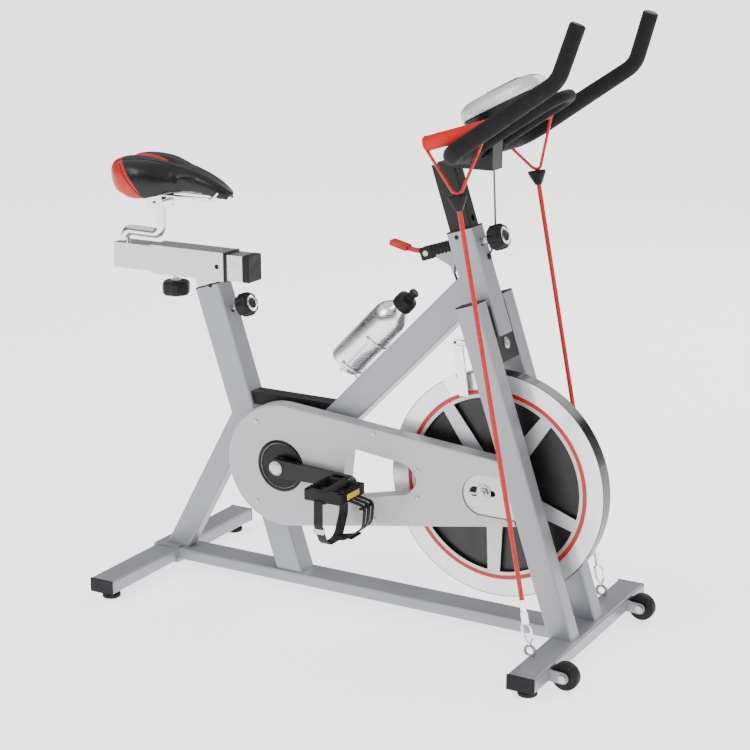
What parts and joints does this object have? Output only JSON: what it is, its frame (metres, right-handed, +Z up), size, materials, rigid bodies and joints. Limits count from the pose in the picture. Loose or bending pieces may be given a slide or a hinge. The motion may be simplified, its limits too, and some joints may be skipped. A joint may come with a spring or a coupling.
{
  "type": "indoor spin bike",
  "caption": "Upright indoor cycling bike: welded frame, chain-driven flywheel, adjustable saddle and handlebar, cage pedals, console and elastic pull bands.",
  "frame": {"origin": "on the floor, under the centre of the bike's length and width", "axes": "+X forward, the way the rider faces; +Y to the rider's left; +Z up"},
  "size_m": [1.157, 0.54, 1.2116],
  "materials": {
    "frame_paint": "satin silver-grey powder coat",
    "guard_paint": "satin light silver plastic",
    "black_plastic": "fine-grained black",
    "flywheel_metal": "silver spokes, black pockets, red ring, machined rim",
    "steel": "zinc-plated",
    "chrome": "polished",
    "crank_black": "satin black",
    "chain_steel": "oiled",
    "rubber": "matte",
    "foam": "black foam grip",
    "saddle_cover": "black vinyl with red panels",
    "red_plastic": "red",
    "band_red": "red latex",
    "console_shell": "silver over a black base",
    "bottle_metal": "brushed, black cap",
    "pedal_plastic": "black, yellow reflectors"
  },
  "bodies": {
    "frame": {"base_tube": "frame_paint", "rear_stabilizer": "frame_paint", "front_stabilizer": "frame_paint", "seat_tube": "frame_paint", "rear_strut": "frame_paint", "main_tube": "frame_paint", "head_tube": "frame_paint", "fork_leg_right": "frame_paint", "fork_leg_left": "frame_paint", "fork_crown": "crank_black", "axle_plates": "frame_paint", "bottom_bracket_shell": "frame_paint", "stabilizer_tabs": "frame_paint", "stabilizer_feet": "rubber", "tube_plugs": "black_plastic", "chain_guard_outer": "guard_paint", "chain_guard_inner": "guard_paint", "frame_fasteners": "steel", "sweat_cover": "black_plastic", "bottle_cage": "chrome", "bearings": "steel", "flywheel_axle": "steel", "brake_lever_mount": "black_plastic", "brake_cable": "rubber", "drive_chain": "chain_steel", "band_hooks": "chrome", "sensor_wire": "rubber", "band_tube_right": "band_red", "band_tube_left": "band_red"},
    "crank": {"crank_spindle": "steel", "chainring": "chain_steel", "crank_arm_right": "crank_black", "crank_arm_left": "crank_black"},
    "flywheel": {"flywheel": "flywheel_metal", "flywheel_hub": "steel"},
    "pedal_right": {"pedal_right": "pedal_plastic", "toe_cage_right": "black_plastic"},
    "pedal_left": {"pedal_left": "pedal_plastic", "toe_cage_left": "black_plastic"},
    "seat": {"seat_post": "chrome"},
    "slider": {"slider_tube": "chrome", "saddle_stem": "chrome"},
    "saddle": {"saddle": "saddle_cover", "saddle_rails": "steel"},
    "seat_knob": {"seat_knob": "black_plastic"},
    "post_knob": {"post_knob": "black_plastic"},
    "slider_knob": {"slider_knob": "black_plastic"},
    "handlebar": {"handlebar_post": "crank_black", "handlebar": "foam", "console": "console_shell"},
    "console_button": {"console_button": "black_plastic"},
    "handle_right": {"band_handle_right": "band_red", "band_strap_right": "band_red"},
    "handle_left": {"band_handle_left": "band_red", "band_strap_left": "band_red"},
    "brake_lever": {"brake_lever": "red_plastic"},
    "brake_arm": {"brake_arm": "chrome"},
    "bottle": {"bottle": "bottle_metal"},
    "wheel_right": {"wheel_right": "rubber"},
    "wheel_left": {"wheel_left": "rubber"}
  },
  "joints": [
    {"name": "flywheel_spin", "type": "hinge", "parent": "frame", "child": "flywheel", "pos_m": [0.31846, 0, 0.309], "axis": [0, 1, 0], "continuous": true},
    {"name": "crank_spin", "type": "hinge", "parent": "frame", "child": "crank", "pos_m": [-0.13854, 0, 0.291], "axis": [0, 1, 0], "continuous": true},
    {"name": "pedal_right_spin", "type": "hinge", "parent": "crank", "child": "pedal_right", "pos_m": [0.03142, 0, 0.28714], "axis": [0, 1, 0], "continuous": true},
    {"name": "pedal_left_spin", "type": "hinge", "parent": "crank", "child": "pedal_left", "pos_m": [-0.30849, 0, 0.29486], "axis": [0, 1, 0], "continuous": true},
    {"name": "seat_height", "type": "slide", "parent": "frame", "child": "seat", "axis": [-0.3112, 0, 0.9504], "range_m": [0, 0.15]},
    {"name": "seat_fore_aft", "type": "slide", "parent": "seat", "child": "slider", "axis": [1, 0, 0], "range_m": [-0.04, 0.05]},
    {"name": "saddle_tilt", "type": "hinge", "parent": "slider", "child": "saddle", "pos_m": [-0.46846, 0, 0.79625], "axis": [0, 1, 0], "range_deg": [-10, 10]},
    {"name": "seat_pin_pull", "type": "slide", "parent": "frame", "child": "seat_knob", "axis": [0.9504, 0, 0.3112], "range_m": [0, 0.011], "stiffness_N_per_m": 600, "springref_m": -0.008},
    {"name": "post_pin_pull", "type": "slide", "parent": "frame", "child": "post_knob", "axis": [0.9487, 0, 0.3161], "range_m": [0, 0.011], "stiffness_N_per_m": 600, "springref_m": -0.008},
    {"name": "slider_screw_turn", "type": "hinge", "parent": "seat", "child": "slider_knob", "pos_m": [-0.43646, 0, 0.64755], "axis": [0, 0, 1], "range_deg": [0, 180]},
    {"name": "handlebar_height", "type": "slide", "parent": "frame", "child": "handlebar", "axis": [-0.3161, 0, 0.9487], "range_m": [-0.05, 0.1], "deforming": ["band_tube_right", "band_tube_left", "sensor_wire"]},
    {"name": "console_button_press", "type": "slide", "parent": "handlebar", "child": "console_button", "axis": [0.454, 0, -0.891], "range_m": [0, 0.002], "stiffness_N_per_m": 300, "springref_m": -0.001},
    {"name": "handle_right_lift", "type": "slide", "parent": "handlebar", "child": "handle_right", "axis": [0, 0, 1], "range_m": [0, 0.022], "stiffness_N_per_m": 120, "springref_m": -0.08},
    {"name": "handle_left_lift", "type": "slide", "parent": "handlebar", "child": "handle_left", "axis": [0, 0, 1], "range_m": [0, 0.022], "stiffness_N_per_m": 120, "springref_m": -0.08},
    {"name": "brake_lever_press", "type": "hinge", "parent": "frame", "child": "brake_lever", "pos_m": [0.1595, 0, 0.74949], "axis": [0, -1, 0], "range_deg": [0, 20], "stiffness_Nm_per_rad": 1, "springref_deg": -17.19},
    {"name": "brake_arm_swing", "type": "hinge", "parent": "frame", "child": "brake_arm", "pos_m": [0.25448, -0.029, 0.58709], "axis": [1, 0, 0], "range_deg": [0, 1.3]},
    {"name": "bottle_lift", "type": "slide", "parent": "frame", "child": "bottle", "axis": [-0.7157, 0, 0.6984], "range_m": [0, 0.15]},
    {"name": "wheel_right_spin", "type": "hinge", "parent": "frame", "child": "wheel_right", "pos_m": [0.55146, -0.19, 0.031], "axis": [0, 1, 0], "continuous": true},
    {"name": "wheel_left_spin", "type": "hinge", "parent": "frame", "child": "wheel_left", "pos_m": [0.55146, 0.19, 0.031], "axis": [0, 1, 0], "continuous": true}
  ],
  "couplings": [
    {"joint": "crank_spin", "follows": "flywheel_spin", "ratio": 0.36},
    {"joint": "brake_arm_swing", "follows": "brake_lever_press", "ratio": 0.06}
  ]
}
